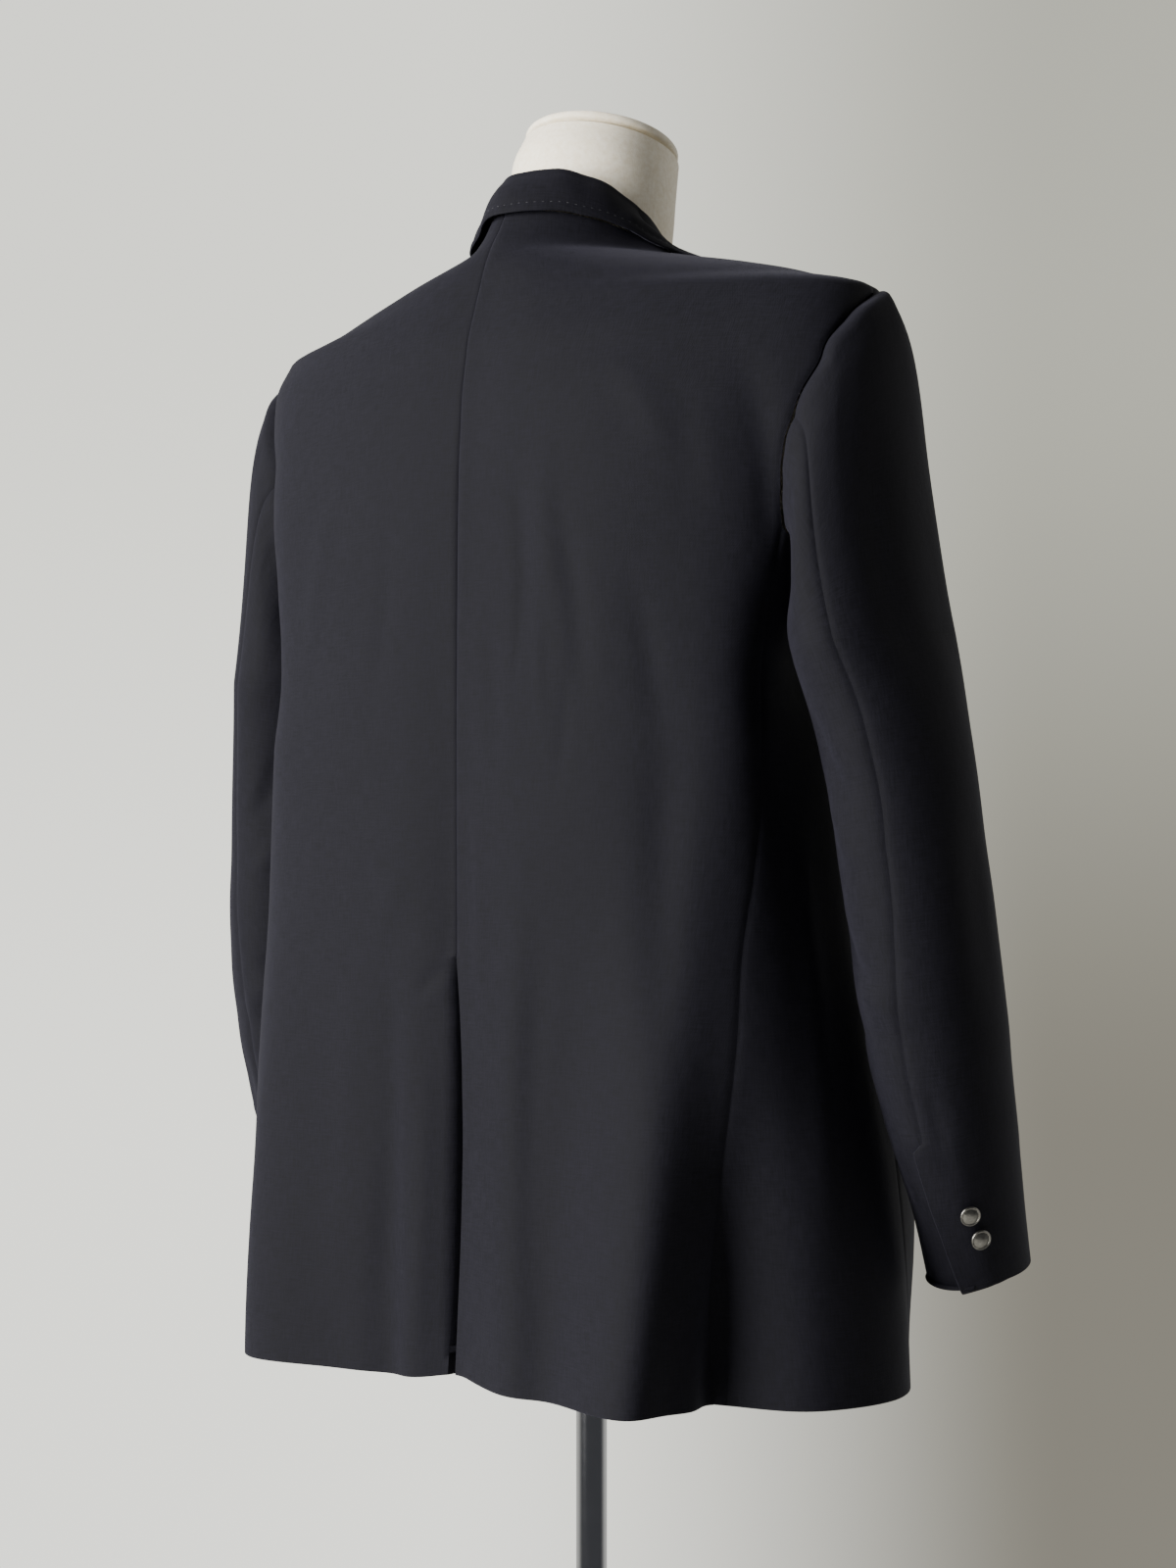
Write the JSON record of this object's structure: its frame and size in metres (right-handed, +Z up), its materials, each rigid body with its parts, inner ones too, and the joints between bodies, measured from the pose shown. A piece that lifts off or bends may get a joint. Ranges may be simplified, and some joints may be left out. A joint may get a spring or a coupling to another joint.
{
  "type": "double-breasted blazer on a dress form",
  "caption": "Long, loose double-breasted blazer with peak lapels, a centre back vent and metal buttons, on a limbless dress form with a pole and round base.",
  "frame": {"origin": "centre of the underside of the stand's round base, below the pole's axis", "axes": "+Z up along the pole; the wearer faces -Y; the wearer's left is +X"},
  "size_m": [0.6548, 0.3627, 1.5714],
  "materials": {
    "navy_wool": "matt worsted wool, very dark navy",
    "button_metal": "silver-coloured metal, softly polished",
    "cream_linen": "matt cream linen cover",
    "chrome": "polished"
  },
  "bodies": {
    "root": {"back_left": "navy_wool", "back_right": "navy_wool", "side_left": "navy_wool", "side_right": "navy_wool", "front_left": "navy_wool", "front_right": "navy_wool", "lapel_left": "navy_wool", "lapel_right": "navy_wool", "collar": "navy_wool", "topsleeve_left": "navy_wool", "topsleeve_right": "navy_wool", "undersleeve_left": "navy_wool", "undersleeve_right": "navy_wool", "button_inner_1": "button_metal", "button_inner_2": "button_metal", "button_inner_3": "button_metal", "button_edge_1": "button_metal", "button_edge_2": "button_metal", "button_edge_3": "button_metal", "cuff_button_left_1": "button_metal", "cuff_button_left_2": "button_metal", "cuff_button_right_1": "button_metal", "cuff_button_right_2": "button_metal", "form_torso": "cream_linen", "neck_cap": "cream_linen", "pole": "chrome", "base": "chrome"}
  },
  "joints": []
}
